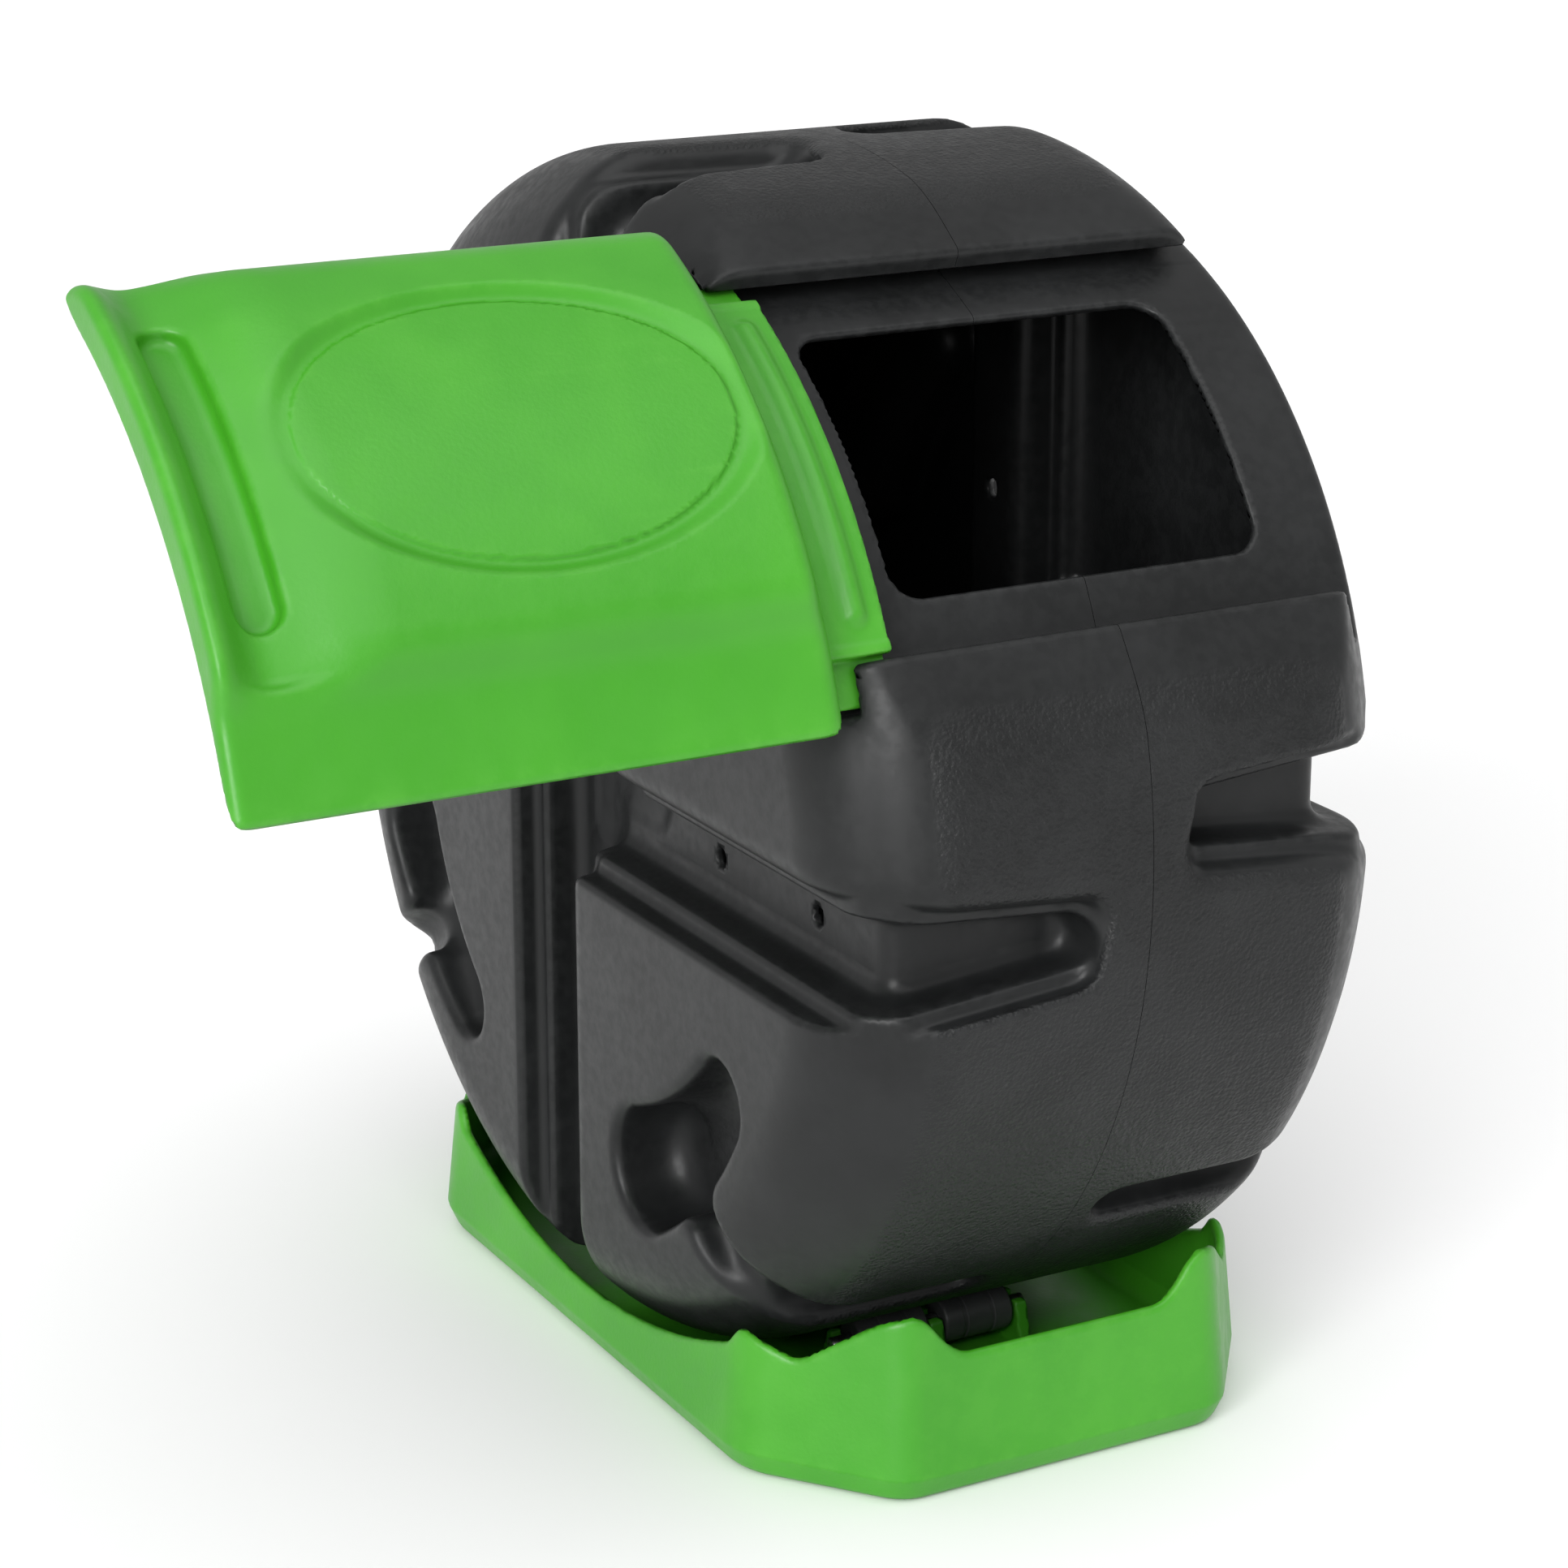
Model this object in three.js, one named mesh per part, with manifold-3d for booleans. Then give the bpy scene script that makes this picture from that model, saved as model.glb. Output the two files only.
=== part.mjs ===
// Rolling compost tumbler: a wheel-shaped drum in two moulded halves, a curved door that slides
// along the drum's axis, and a tray-like base with two axles of rollers that the drum turns on.
// Millimetres. X is the drum's axis, -Y is the door side, Z is up.
// The origin is the centre of the base's underside.
import * as THREE from 'three';
import { mergeVertices } from 'three/addons/utils/BufferGeometryUtils.js';
import Module from 'manifold-3d';

const wasm = await Module();
wasm.setup();

// ---------------------------------------------------------------- driving dimensions
const GAP = 0.3;                 // between pieces that touch
const SEGMENTS = 72;             // facets round the drum
const MERGE = 0.02;              // slivers smaller than this are closed up

const AXIS_HEIGHT = 316;         // drum axis above the floor
const DRUM_RADIUS = 300;
const DRUM_HALF_WIDTH = 152;
const SHOULDER = 39;             // 45 degree bevel between tread and end face
const WALL = 4;                  // moulded wall of the drum
const BEVEL_SHARE = 0.6;         // the inside bevel is smaller by this share of the wall

const GROOVE_WIDTH = 56;         // the crossed grooves that turn into mixing ribs inside
const GROOVE_DEPTH = 32;
const GROOVE_STEP = 14;          // depth at which the groove narrows
const GROOVE_LEDGE = 7;          // how much it narrows on each side there
const GROOVE_OFFSET = 24;        // sideways shift of each groove, opposite on the two halves
const GROOVE_STOP = 24;          // distance from the seam at which a tread groove ends
const GROOVE_ANGLES = [0, 90, 180, 270];
const VENT_RADIUS = 5;
const VENT_PLACES = [105, 200];  // distance of the air holes from the drum axis

const HOLD_ANGLES = [135, 225, 315];   // handholds, one between each pair of grooves
const HOLD_SHIFT = 8;                  // degrees, opposite on the two halves
const HOLD_RADIUS = 205;
const HOLD_LENGTH = 122;
const HOLD_WIDTH = 56;
const HOLD_DEPTH = 34;
const HOLD_BLUNTNESS = 0.75;           // its outline lies between an ellipse and a rectangle
const HOLD_POINTS = 20;
const SCOOP_SHIFT = 5;                 // the finger scoop on the tread behind a handhold
const SCOOP_WIDTH = 34;
const SCOOP_DEPTH = 22;

const DOOR_ANGLE = 46;           // middle of the door, from straight up towards -Y
const LUG_ANGLE = 28;            // half angles, from the door's middle
const LIP_ANGLE = 20.5;
const TRACK_ANGLE = 25;
const MOUTH_ANGLE = 15;
const LIP_TOP = 290;             // radii of the lip that the door hooks under
const LIP_UNDER = 279;
const FRAME_RADIUS = 271;
const MOUTH_HALF_LENGTH = 98;
const RIM_REACH = 8;             // how far the left half's seam rim nests in the right half
const RIM_THICKNESS = 3.5;

const DOOR_SAG = 1.2;            // the door's weight holds it at the lower side of its tracks
const DOOR_LEFT = -431;
const DOOR_RIGHT = -114;
const HOOD_RIGHT = -152;         // the raised part ends here, and the low flange goes on
const DOOR_OUTER = 316;
const DOOR_SKIN = 6;
const DOOR_END = 4;              // end walls and flange
const PANEL_MIDDLE = -4;         // the panel, oval and slot sit nearer to the door's upper edge
const PANEL_ANGLE = 18.1;        // half angle of the panel, from its own middle
const BAND_START = [306, 17.2];  // radius and angle at the foot of the step below the panel
const BAND_SKIN = [300, 16];     // the same corner on the inside
const SKIN_OVERLAP = 2;          // degrees by which the edge bands reach into the panel
const HOOD_ANGLE = 25.5;
const HOOD_EDGE = [298.9, 302];  // radii of the hood's long edges
const HOOD_CLEARANCE = 2;        // between the hood and the lip
const WEB_ANGLE = 19.1;
const WEB_SPREAD = 1;
const TONGUE_ANGLE = 23.6;
const TONGUE_RADII = [273.5, 277.5];
const FLANGE_RADII = [281, 285];
const OVAL_CENTRE = -269;
const OVAL_LENGTH = 102;         // half length and half width of the shallow oval
const OVAL_WIDTH = 66;
const OVAL_STEPS = 20;
const OVAL_DEPTH = 3;
const VALLEY_DEPTH = 15;         // the cross valley near the free end
const VALLEY_BOTTOM = [20, 36];  // distances of its edges from the free end
const VALLEY_TOP = [9, 54];
const SLOT_ANGLE = 14.5;         // the deeper slot in the valley
const SLOT_EDGES = [18, 38];
const SLOT_DEPTH = 5;

const BASE_HALF_WIDTH = 146;
const BASE_HALF_LENGTH = 241;
const BASE_CORNER_X = 91;        // ends of the slanted corner walls
const BASE_CORNER_Y = 171;
const BASE_WALL = 5;
const BASE_FLOOR = 5;
const BASE_FOOT_HEIGHT = 13;     // the wall is widest here
const BASE_FOOT_INSET = 6;
const BASE_TOP = 96;
const BASE_TOP_INSET = 8;
const SIDE_DIP = 33;             // lowest height of the side walls' curve, and its radius
const SIDE_DIP_RADIUS = 400;
const END_GAP = [[-63, 72], [63, 72], [82, 92]];   // the gap in an end wall, up to its posts
const SLANT_NOTCH = [[0, 74], [0.32, 65], [0.84, 93]];   // share of the slanted wall, height

const ROLLER_RADIUS = 12;
const ROLLER_BORE = 4.4;
const ROLLER_INNER = 5;
const ROLLER_OUTER = 45;
const ROLLER_CHAMFER = 1.5;
const ROLLER_ANGLE = 20;         // of the roller, from straight down
const ROLLER_CLEARANCE = 0.4;
const AXLE_RADIUS = 4;
const AXLE_HALF_LENGTH = 57;
const AXLE_CHAMFER = 1;
const SADDLE_THICKNESS = 7;
const SADDLE_FOOT = 16;          // half widths of a saddle plate at its foot and its top
const SADDLE_HEAD = 10;
const SADDLE_RISE = 5;           // height of its top above the axle's middle

const FAR = 400;                 // beyond every surface
const BEYOND = 20;               // how far a cutter reaches past the surface it opens
const CUTTER_DEPTH = 60;         // cutters of the base's rim, through the walls
const CUTTER_OVERRUN = 7;        // and past both ends of a slanted wall

const DEG = Math.PI / 180;

// ---------------------------------------------------------------- materials
const blackPlastic = new THREE.MeshStandardMaterial({ color: 0x26282a, roughness: 0.5, metalness: 0 });
const greenPlastic = new THREE.MeshStandardMaterial({ color: 0x4fbf2c, roughness: 0.4, metalness: 0 });
const greyPlastic = new THREE.MeshStandardMaterial({ color: 0x3a3c3e, roughness: 0.6, metalness: 0 });
const steel = new THREE.MeshStandardMaterial({ color: 0xa8aaad, roughness: 0.35, metalness: 1 });

// ---------------------------------------------------------------- solids and booleans
function toSolid(geometry) {
  const bare = geometry.clone();
  bare.deleteAttribute('normal');
  bare.deleteAttribute('uv');
  const merged = mergeVertices(bare, 1e-4);
  return new wasm.Manifold(new wasm.Mesh({
    numProp: 3,
    vertProperties: new Float32Array(merged.attributes.position.array),
    triVerts: new Uint32Array(merged.index.array),
  }));
}

function toGeometry(solid) {
  const mesh = solid.simplify(MERGE).getMesh();
  const geometry = new THREE.BufferGeometry();
  geometry.setAttribute('position', new THREE.BufferAttribute(new Float32Array(mesh.vertProperties), 3));
  geometry.setIndex(new THREE.BufferAttribute(new Uint32Array(mesh.triVerts), 1));
  geometry.computeVertexNormals();
  return geometry;
}

const join = (solids) => solids.reduce((all, next) => all.add(next));

function named(name, geometry, material) {
  const mesh = new THREE.Mesh(geometry, material);
  mesh.name = name;
  return mesh;
}

// A box from its lowest to its highest corner.
function box([x0, y0, z0], [x1, y1, z1]) {
  const geometry = new THREE.BoxGeometry(x1 - x0, y1 - y0, z1 - z0);
  geometry.translate((x0 + x1) / 2, (y0 + y1) / 2, (z0 + z1) / 2);
  return toSolid(geometry);
}

// An outline of [y, z] points pushed along X.
function alongX(points, x0, x1) {
  const shape = new THREE.Shape(points.map(([y, z]) => new THREE.Vector2(y, z)));
  const geometry = new THREE.ExtrudeGeometry(shape, { depth: x1 - x0, bevelEnabled: false });
  const turn = new THREE.Matrix4().makeBasis(
    new THREE.Vector3(0, 1, 0), new THREE.Vector3(0, 0, 1), new THREE.Vector3(1, 0, 0));
  geometry.applyMatrix4(turn);
  geometry.translate(x0, 0, 0);
  return toSolid(geometry);
}

// An outline of [radius, x] points turned about the X axis.
function turned(points, segments = SEGMENTS) {
  const profile = points.map(([radius, x]) => new THREE.Vector2(radius, x));
  const geometry = new THREE.LatheGeometry(profile, segments);
  const turn = new THREE.Matrix4().makeBasis(
    new THREE.Vector3(0, 1, 0), new THREE.Vector3(1, 0, 0), new THREE.Vector3(0, 0, -1));
  geometry.applyMatrix4(turn);
  return toSolid(geometry);
}

function ring(inner, outer, x0, x1, segments = SEGMENTS) {
  return turned([[inner, x0], [outer, x0], [outer, x1], [inner, x1], [inner, x0]], segments);
}

// A point at a radius and an angle from straight up towards -Y, about the drum axis.
const polar = (radius, degrees) => [-radius * Math.sin(degrees * DEG), radius * Math.cos(degrees * DEG)];

function arc(radius, from, to, step = 3.5) {
  const count = Math.max(1, Math.round(Math.abs(to - from) / step));
  return Array.from({ length: count + 1 }, (_, i) => polar(radius, from + (to - from) * i / count));
}

// A block that covers a sector between two radii.
function sector(inner, outer, from, to, x0, x1) {
  return alongX([...arc(outer, from, to), ...arc(inner, to, from)], x0, x1);
}

// Turns a solid that was made at the top of the drum to an angle towards -Y.
const atAngle = (solid, degrees) => solid.rotate([degrees, 0, 0]);

// ---------------------------------------------------------------- drum
// Every drum shape is made about the X axis and lifted to AXIS_HEIGHT at the end.
// side is -1 for the left half and 1 for the right; grow makes the inside copy of a hollow.
function sideBox(side, [x0, y0, z0], [x1, y1, z1]) {
  return box([Math.min(side * x0, side * x1), y0, z0], [Math.max(side * x0, side * x1), y1, z1]);
}

function groove(side, angle, grow) {
  const centre = side * GROOVE_OFFSET;
  const beyond = DRUM_RADIUS + BEYOND;
  const end = DRUM_HALF_WIDTH + BEYOND;
  const steps = [
    { half: GROOVE_WIDTH / 2 + grow, depth: GROOVE_STEP + grow, inset: 0 },
    { half: GROOVE_WIDTH / 2 - GROOVE_LEDGE + grow, depth: GROOVE_DEPTH + grow, inset: GROOVE_LEDGE },
  ];
  const parts = steps.flatMap(({ half, depth, inset }) => [
    sideBox(side, [DRUM_HALF_WIDTH - depth, centre - half, -half], [end, centre + half, beyond]),
    sideBox(side, [GROOVE_STOP + inset - grow, centre - half, DRUM_RADIUS - depth],
      [end, centre + half, beyond]),
  ]);
  return atAngle(join(parts), angle);
}

function handhold(side, angle, grow) {
  const halfLength = HOLD_LENGTH / 2 + grow;
  const halfWidth = HOLD_WIDTH / 2 + grow;
  const outline = [];
  for (let i = 0; i < HOLD_POINTS; i += 1) {
    const c = Math.cos(2 * Math.PI * i / HOLD_POINTS);
    const s = Math.sin(2 * Math.PI * i / HOLD_POINTS);
    outline.push([
      halfLength * Math.sign(c) * Math.abs(c) ** HOLD_BLUNTNESS,
      HOLD_RADIUS + halfWidth * Math.sign(s) * Math.abs(s) ** HOLD_BLUNTNESS,
    ]);
  }
  const floor = DRUM_HALF_WIDTH - HOLD_DEPTH - grow;
  const end = DRUM_HALF_WIDTH + BEYOND;
  const beyond = DRUM_RADIUS + BEYOND;
  const pocket = side < 0 ? alongX(outline, -end, -floor) : alongX(outline, floor, end);
  const half = SCOOP_WIDTH / 2 + grow;
  const scoop = sideBox(side, [GROOVE_STOP - grow, -half, DRUM_RADIUS - SCOOP_DEPTH - grow],
    [end, half, beyond]);
  const channelFloor = DRUM_HALF_WIDTH - SCOOP_DEPTH - grow;
  const channel = sideBox(side, [channelFloor, -half, HOLD_RADIUS], [end, half, beyond]);
  return join([
    atAngle(pocket, angle - side * HOLD_SHIFT),
    atAngle(scoop, angle - side * SCOOP_SHIFT),
    atAngle(channel, angle - side * SCOOP_SHIFT),
  ]);
}

// The recess that the door slides in: a floor, two undercut tracks and the flats outside them.
// The inside copy of the hollow is simpler, and fills the undercuts.
function doorRecess(grow) {
  const end = DRUM_HALF_WIDTH + BEYOND;
  const beyond = DRUM_RADIUS + BEYOND;
  const growAngle = grow / DRUM_RADIUS / DEG;
  const lug = LUG_ANGLE + growAngle;
  const lip = LIP_ANGLE + growAngle;
  const track = TRACK_ANGLE + growAngle;
  const flats = [polar(DRUM_RADIUS, -lug), ...arc(beyond, -lug, lug), polar(DRUM_RADIUS, lug)];
  if (grow > 0) {
    const plain = sector(FRAME_RADIUS - grow, beyond, -track, track, -end, end);
    const facet = alongX([...flats, polar(LIP_TOP - grow, lip), polar(LIP_TOP - grow, -lip)], -end, end);
    return atAngle(plain.add(facet), DOOR_ANGLE);
  }
  const open = alongX([
    ...flats, polar(LIP_TOP, lip), polar(LIP_UNDER, lip), polar(LIP_UNDER, track),
    ...arc(FRAME_RADIUS, track, -track),
    polar(LIP_UNDER, -track), polar(LIP_UNDER, -lip), polar(LIP_TOP, -lip),
  ], -end, end);
  return atAngle(open, DOOR_ANGLE);
}

function ventHoles(side, angle) {
  const holes = VENT_PLACES.map((place) => {
    const geometry = new THREE.CylinderGeometry(VENT_RADIUS, VENT_RADIUS, 2 * BEYOND, 10);
    geometry.rotateZ(Math.PI / 2);
    geometry.translate(side * (DRUM_HALF_WIDTH - GROOVE_DEPTH), side * GROOVE_OFFSET, place);
    return toSolid(geometry);
  });
  return atAngle(join(holes), angle);
}

function drumShell() {
  const body = (half, radius, bevel) => turned([
    [0, -half], [radius - bevel, -half], [radius, -half + bevel],
    [radius, half - bevel], [radius - bevel, half], [0, half],
  ]);
  let outside = body(DRUM_HALF_WIDTH, DRUM_RADIUS, SHOULDER);
  let inside = body(DRUM_HALF_WIDTH - WALL, DRUM_RADIUS - WALL, SHOULDER - WALL * BEVEL_SHARE);
  for (const side of [-1, 1]) {
    for (const angle of GROOVE_ANGLES) {
      outside = outside.subtract(groove(side, angle, 0));
      inside = inside.subtract(groove(side, angle, WALL));
    }
    for (const angle of HOLD_ANGLES) {
      outside = outside.subtract(handhold(side, angle, 0));
      inside = inside.subtract(handhold(side, angle, WALL));
    }
  }
  outside = outside.subtract(doorRecess(0));
  inside = inside.subtract(doorRecess(WALL));
  const mouth = sector(FRAME_RADIUS - BEYOND, FRAME_RADIUS + BEYOND, -MOUTH_ANGLE, MOUTH_ANGLE,
    -MOUTH_HALF_LENGTH, MOUTH_HALF_LENGTH);
  let shell = outside.subtract(inside).subtract(atAngle(mouth, DOOR_ANGLE));
  for (const side of [-1, 1]) {
    for (const angle of GROOVE_ANGLES) shell = shell.subtract(ventHoles(side, angle));
  }
  return shell;
}

// The left half carries a thin rim that nests inside the right half at the seam.
function seamRim() {
  const wallInside = DRUM_RADIUS - WALL;
  const rimInside = wallInside - RIM_THICKNESS;
  const root = RIM_REACH + 1;
  const rim = turned([
    [rimInside, -root], [wallInside + 0.5, -root], [wallInside + 0.5, -GAP / 2],
    [wallInside - GAP, -GAP / 2], [wallInside - GAP, RIM_REACH], [rimInside, RIM_REACH], [rimInside, -root],
  ]);
  const opening = LUG_ANGLE + 3;
  const clear = sector(DRUM_RADIUS - 100, DRUM_RADIUS + BEYOND, -opening, opening, -BEYOND, BEYOND);
  return rim.subtract(atAngle(clear, DOOR_ANGLE));
}

const shell = drumShell();
const leftHalf = shell.intersect(box([-FAR, -FAR, -FAR], [-GAP / 2, FAR, FAR])).add(seamRim());
const rightHalf = shell.intersect(box([GAP / 2, -FAR, -FAR], [FAR, FAR, FAR]));

// ---------------------------------------------------------------- door
// Made with its middle at the top, then turned to its place. Its edges hook round the drum's lips.
function slidingDoor() {
  const shellInside = DOOR_OUTER - DOOR_SKIN;
  const wallTop = DOOR_OUTER - 1;                  // inner walls end inside the skin
  const webInside = WEB_ANGLE - WEB_SPREAD;
  const hoodStart = HOOD_RIGHT - DOOR_END;
  const overLip = LIP_TOP + HOOD_CLEARANCE;
  const upperCrest = PANEL_MIDDLE - PANEL_ANGLE;
  const lowerCrest = PANEL_MIDDLE + PANEL_ANGLE;
  const crossWall = (inner, x0, x1) =>
    sector(inner, wallTop - 1, -WEB_ANGLE, lowerCrest, x0, x1)
      .add(sector(inner, BAND_START[0] - 1, lowerCrest - 1, WEB_ANGLE, x0, x1));
  const pieces = [
    sector(shellInside, DOOR_OUTER, upperCrest, lowerCrest, DOOR_LEFT, HOOD_RIGHT),
    sector(...FLANGE_RADII, -WEB_ANGLE, WEB_ANGLE, hoodStart, DOOR_RIGHT),
    crossWall(FLANGE_RADII[0] + 1, hoodStart, HOOD_RIGHT),
    crossWall(TONGUE_RADII[0], DOOR_LEFT, DOOR_LEFT + DOOR_END),
    crossWall(shellInside - VALLEY_DEPTH, DOOR_LEFT, DOOR_LEFT + VALLEY_TOP[1] + DOOR_END),
    alongX([
      polar(DOOR_OUTER, upperCrest), polar(HOOD_EDGE[1], -HOOD_ANGLE),
      polar(HOOD_EDGE[0], -HOOD_ANGLE), polar(overLip, -LIP_ANGLE),
      polar(overLip, -webInside), polar(shellInside, SKIN_OVERLAP - PANEL_ANGLE),
      polar(DOOR_OUTER, SKIN_OVERLAP - PANEL_ANGLE),
    ], DOOR_LEFT, HOOD_RIGHT),
    alongX([
      polar(DOOR_OUTER, lowerCrest), polar(...BAND_START), polar(HOOD_EDGE[1], HOOD_ANGLE),
      polar(HOOD_EDGE[0], HOOD_ANGLE), polar(overLip, LIP_ANGLE), polar(overLip, webInside),
      polar(...BAND_SKIN), polar(shellInside, lowerCrest - SKIN_OVERLAP),
      polar(DOOR_OUTER, lowerCrest - SKIN_OVERLAP),
    ], DOOR_LEFT, HOOD_RIGHT),
  ];
  for (const sign of [-1, 1]) {
    pieces.push(
      sector(TONGUE_RADII[0], overLip + 2, sign * webInside, sign * WEB_ANGLE, DOOR_LEFT, HOOD_RIGHT),
      sector(TONGUE_RADII[0], FLANGE_RADII[1], sign * webInside, sign * WEB_ANGLE, DOOR_LEFT, DOOR_RIGHT),
      sector(...TONGUE_RADII, sign * webInside, sign * TONGUE_ANGLE, DOOR_LEFT, DOOR_RIGHT),
    );
  }
  let door = join(pieces);

  const valleyFloor = DOOR_OUTER - VALLEY_DEPTH;
  const above = DOOR_OUTER + 4;
  const valley = turned([
    [valleyFloor, DOOR_LEFT + VALLEY_BOTTOM[0]], [above, DOOR_LEFT + VALLEY_TOP[0]],
    [above, DOOR_LEFT + VALLEY_TOP[1]], [valleyFloor, DOOR_LEFT + VALLEY_BOTTOM[1]],
    [valleyFloor, DOOR_LEFT + VALLEY_BOTTOM[0]],
  ]);
  door = door.subtract(valley.intersect(sector(valleyFloor - BEYOND, DOOR_OUTER + BEYOND,
    -HOOD_ANGLE - 1, BAND_START[1], DOOR_LEFT - BEYOND, DOOR_RIGHT)));
  door = door.subtract(sector(valleyFloor - SLOT_DEPTH, valleyFloor + SLOT_DEPTH,
    PANEL_MIDDLE - SLOT_ANGLE, PANEL_MIDDLE + SLOT_ANGLE,
    DOOR_LEFT + SLOT_EDGES[0], DOOR_LEFT + SLOT_EDGES[1]));

  const oval = new THREE.Shape();
  oval.absellipse(0, 0, OVAL_LENGTH, OVAL_WIDTH, 0, Math.PI * 2);
  const block = new THREE.ExtrudeGeometry(oval,
    { depth: 4 * BEYOND, bevelEnabled: false, curveSegments: OVAL_STEPS });
  const ovalBlock = toSolid(block).translate([OVAL_CENTRE, 0, DOOR_OUTER - 3 * BEYOND]);
  const skinLayer = ring(DOOR_OUTER - OVAL_DEPTH, DOOR_OUTER + BEYOND,
    OVAL_CENTRE - OVAL_LENGTH - BEYOND, OVAL_CENTRE + OVAL_LENGTH + BEYOND, 120);
  door = door.subtract(atAngle(ovalBlock, PANEL_MIDDLE).intersect(skinLayer));
  return atAngle(door, DOOR_ANGLE + DOOR_SAG);
}

// ---------------------------------------------------------------- base
// An eight-sided prism: half width and half length at the bottom and the top of each layer.
function octagonLayer(grow0, z0, grow1, z1) {
  const outline = (grow) => {
    const w = BASE_HALF_WIDTH + grow;
    const l = BASE_HALF_LENGTH + grow;
    const x = BASE_CORNER_X + grow * 0.5;
    const y = BASE_CORNER_Y + grow * 0.4;
    return [[w, -y], [w, y], [x, l], [-x, l], [-w, y], [-w, -y], [-x, -l], [x, -l]];
  };
  const low = outline(grow0).map(([x, y]) => [x, y, z0]);
  const high = outline(grow1).map(([x, y]) => [x, y, z1]);
  const index = [];
  for (let i = 0; i < 8; i += 1) {
    const next = (i + 1) % 8;
    index.push(i, next, 8 + next, i, 8 + next, 8 + i);
  }
  for (let i = 1; i < 7; i += 1) index.push(0, i + 1, i, 8, 8 + i, 9 + i);
  const geometry = new THREE.BufferGeometry();
  geometry.setAttribute('position', new THREE.Float32BufferAttribute([...low, ...high].flat(), 3));
  geometry.setIndex(index);
  return toSolid(geometry);
}

const rollerDistance = DRUM_RADIUS + ROLLER_RADIUS + ROLLER_CLEARANCE;
const rollerY = rollerDistance * Math.sin(ROLLER_ANGLE * DEG);
const rollerZ = AXIS_HEIGHT - rollerDistance * Math.cos(ROLLER_ANGLE * DEG);

// A plate across the tray with an open slot that the axle drops into.
function axleSaddle(y, x0, x1) {
  const half = AXLE_RADIUS + GAP;
  const foot = BASE_FLOOR - 1;
  const top = rollerZ + SADDLE_RISE;
  const outline = [[y - SADDLE_FOOT, foot], [y + SADDLE_FOOT, foot], [y + SADDLE_HEAD, top], [y + half, top]];
  for (let turn = 0; turn >= -180; turn -= 30) {
    outline.push([y + half * Math.cos(turn * DEG), rollerZ + half * Math.sin(turn * DEG)]);
  }
  outline.push([y - half, top], [y - SADDLE_HEAD, top]);
  return alongX(outline, x0, x1);
}

// The block above a slanted corner wall, standing on the notch's outline.
function slantBlock() {
  const from = [BASE_HALF_WIDTH - BASE_WALL, BASE_CORNER_Y - 3];
  const to = [BASE_CORNER_X - 1, BASE_HALF_LENGTH - BASE_FOOT_INSET];
  const along = Math.hypot(to[0] - from[0], to[1] - from[1]);
  const high = BASE_TOP + BEYOND;
  const [first] = SLANT_NOTCH;
  const outline = [
    [-CUTTER_OVERRUN, first[1] + 2], ...SLANT_NOTCH.map(([share, z]) => [along * share, z]),
    [along + CUTTER_OVERRUN, BASE_TOP - 2], [along + CUTTER_OVERRUN, high], [-CUTTER_OVERRUN, high],
  ];
  const shape = new THREE.Shape(outline.map(([x, z]) => new THREE.Vector2(x, z)));
  const block = new THREE.ExtrudeGeometry(shape, { depth: CUTTER_DEPTH, bevelEnabled: false });
  block.translate(0, 0, -CUTTER_DEPTH / 2);
  const direction = new THREE.Vector3((to[0] - from[0]) / along, (to[1] - from[1]) / along, 0);
  const up = new THREE.Vector3(0, 0, 1);
  block.applyMatrix4(new THREE.Matrix4().makeBasis(direction, up, direction.clone().cross(up)));
  block.translate(from[0], from[1], 0);
  return toSolid(block);
}

// The block above an end wall, standing on the gap between its two corner posts.
function gapBlock(end) {
  const [, , post] = END_GAP;
  const high = BASE_TOP + BEYOND;
  const outline = [...END_GAP, [post[0], high], [-post[0], high], [-post[0], post[1]]];
  const shape = new THREE.Shape(outline.map(([x, z]) => new THREE.Vector2(x, z)));
  const block = toSolid(new THREE.ExtrudeGeometry(shape, { depth: CUTTER_DEPTH, bevelEnabled: false }));
  return block.rotate([90, 0, 0]).translate([0, end * (BASE_HALF_LENGTH - BEYOND) + CUTTER_DEPTH / 2, 0]);
}

function baseTray() {
  const outer = octagonLayer(-BASE_FOOT_INSET, 0, 0, BASE_FOOT_HEIGHT)
    .add(octagonLayer(0, BASE_FOOT_HEIGHT, -BASE_TOP_INSET, BASE_TOP));
  const bend = BASE_FOOT_HEIGHT + 2;
  const inner = octagonLayer(-BASE_FOOT_INSET - BASE_WALL + 2, BASE_FLOOR, -BASE_WALL, bend)
    .add(octagonLayer(-BASE_WALL, bend, -BASE_TOP_INSET - BASE_WALL, BASE_TOP + 1));
  let tray = outer.subtract(inner);

  // Side walls: a long hollow curve under the drum's shoulders.
  const reach = BASE_CORNER_Y - 4;
  const dip = turned([[0, -FAR], [SIDE_DIP_RADIUS, -FAR], [SIDE_DIP_RADIUS, FAR], [0, FAR]], 96)
    .translate([0, 0, SIDE_DIP + SIDE_DIP_RADIUS])
    .intersect(box([-FAR, -reach, 0], [FAR, reach, FAR]));
  tray = tray.subtract(dip);

  for (const end of [-1, 1]) {
    tray = tray.subtract(gapBlock(end));
    for (const side of [-1, 1]) {
      let block = slantBlock();
      if (side < 0) block = block.mirror([1, 0, 0]);
      if (end < 0) block = block.mirror([0, 1, 0]);
      tray = tray.subtract(block);
    }
    const y = end * rollerY;
    const near = ROLLER_OUTER + 2;
    const far = near + SADDLE_THICKNESS;
    const middle = ROLLER_INNER - 1;
    tray = join([tray, axleSaddle(y, -middle, middle), axleSaddle(y, near, far), axleSaddle(y, -far, -near)]);
  }
  return tray;
}

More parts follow.
